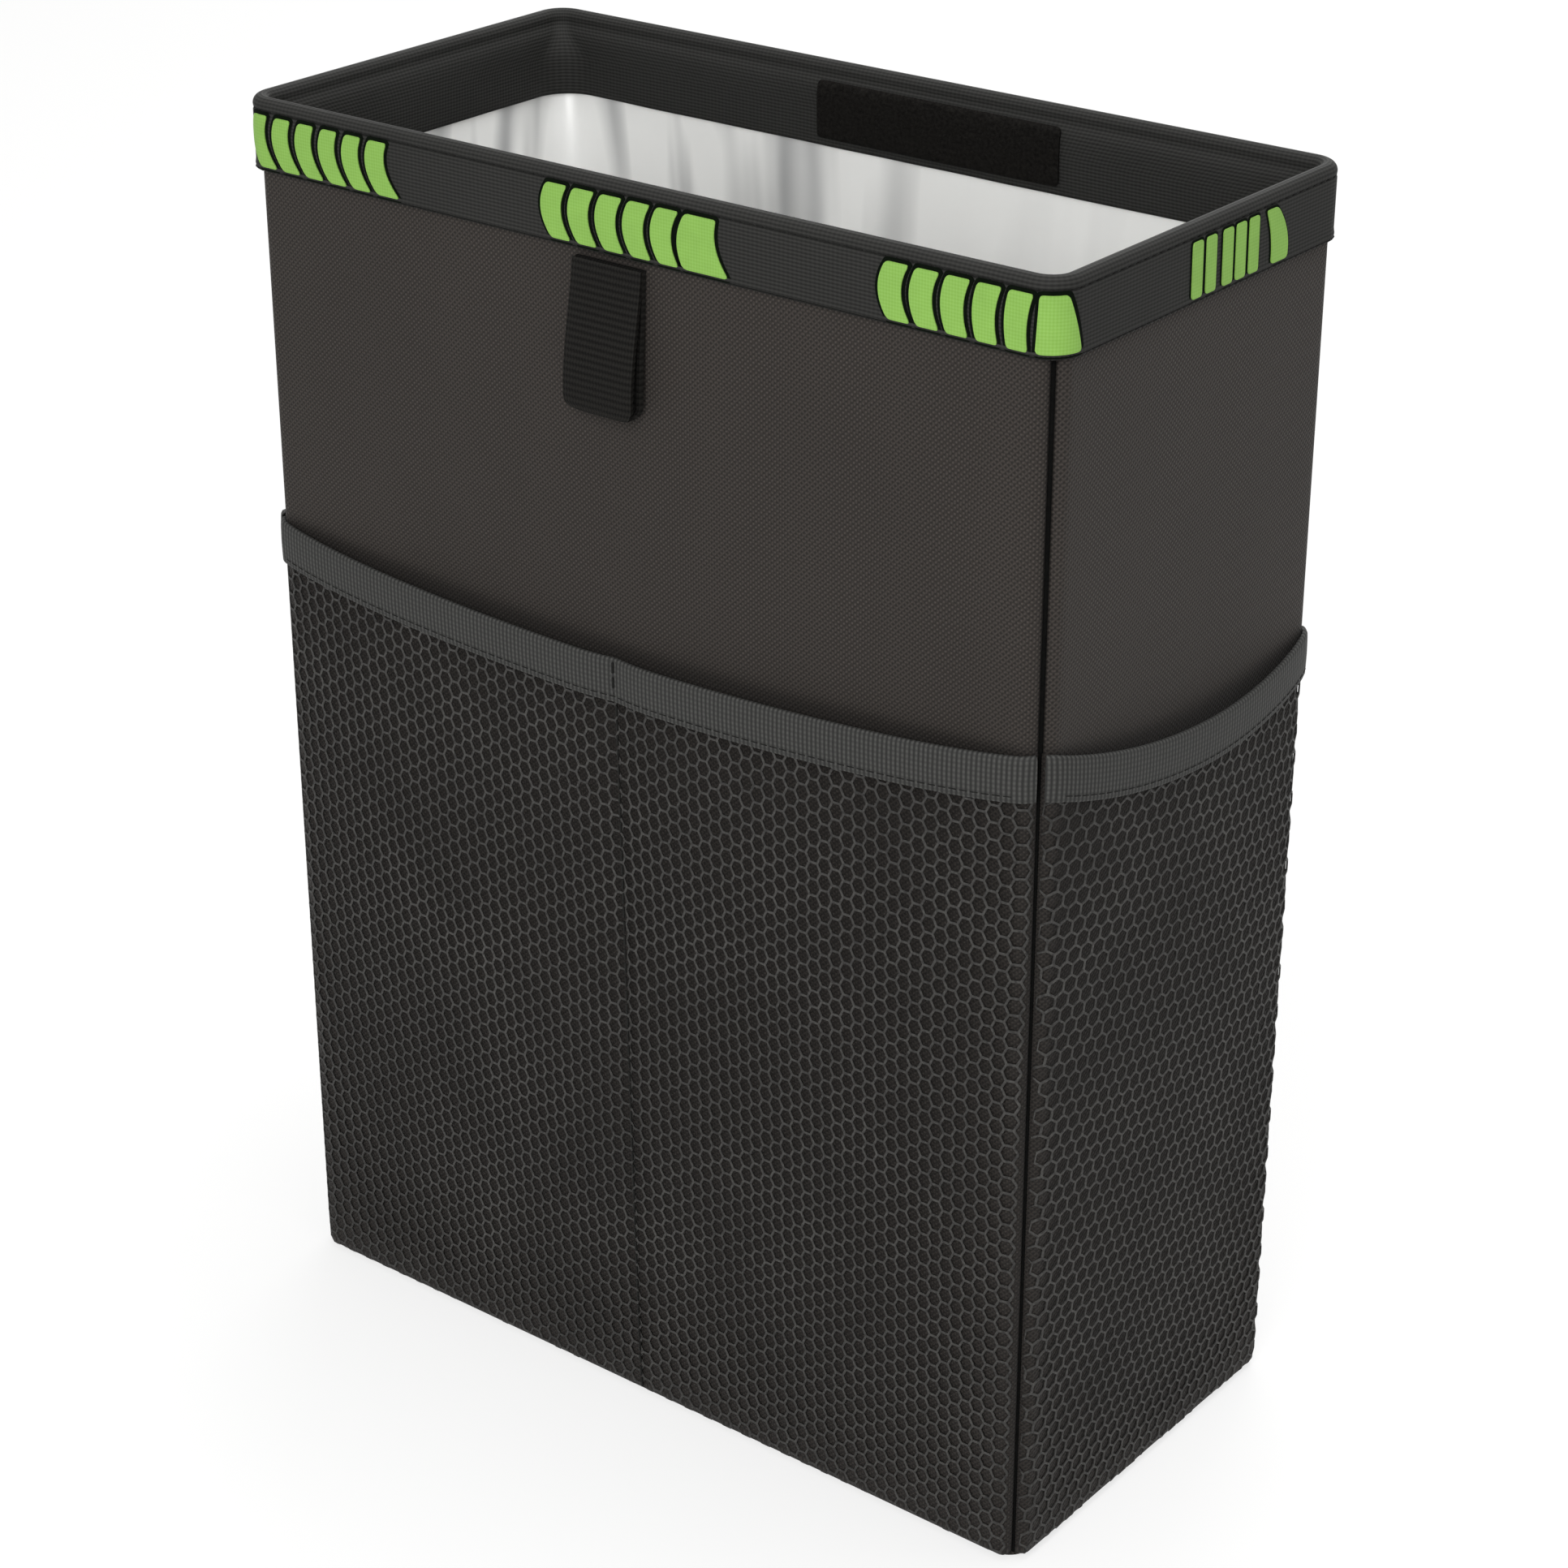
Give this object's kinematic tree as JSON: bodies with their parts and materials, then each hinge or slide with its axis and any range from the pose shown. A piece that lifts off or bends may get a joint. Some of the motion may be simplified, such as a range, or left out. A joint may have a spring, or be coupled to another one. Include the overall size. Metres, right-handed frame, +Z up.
{
  "type": "car trash bin",
  "caption": "Tall open-topped box of stiffened cloth with a wired rim band, film lining, webbing loop and net side pockets, for holding litter in a car.",
  "frame": {"origin": "middle of the underside, on the surface the bin stands on", "axes": "+Z up through the open mouth; the front, with the webbing loop and the wide net, faces -Y; X runs along the front"},
  "size_m": [0.2614, 0.1288, 0.336],
  "materials": {
    "wall_cloth": "dark brown-grey woven polyester",
    "board": "plain black sheet",
    "film": "silver coated film",
    "band_cloth": "black woven tape",
    "wire": "spring steel wire",
    "loop_pile": "black hook-and-loop pile",
    "webbing": "black ribbed webbing",
    "net": "dark grey knitted net",
    "binding": "dark grey woven tape",
    "green_print": "yellow-green print"
  },
  "bodies": {
    "root": {"base_panel": "wall_cloth", "front_panel": "wall_cloth", "back_panel": "wall_cloth", "left_panel": "wall_cloth", "right_panel": "wall_cloth", "base_board": "board", "front_board": "board", "back_board": "board", "left_board": "board", "right_board": "board", "lining": "film", "rim_band": "band_cloth", "rim_wire": "wire", "loop_patch": "loop_pile", "front_loop": "webbing", "front_net": "net", "left_net": "net", "right_net": "net", "front_binding": "binding", "left_binding": "binding", "right_binding": "binding", "chevrons_front_left": "green_print", "chevrons_front_middle": "green_print", "chevrons_front_right": "green_print", "chevrons_right": "green_print", "chevrons_back_left": "green_print", "chevrons_back_middle": "green_print", "chevrons_back_right": "green_print", "chevrons_left": "green_print"}
  },
  "joints": []
}
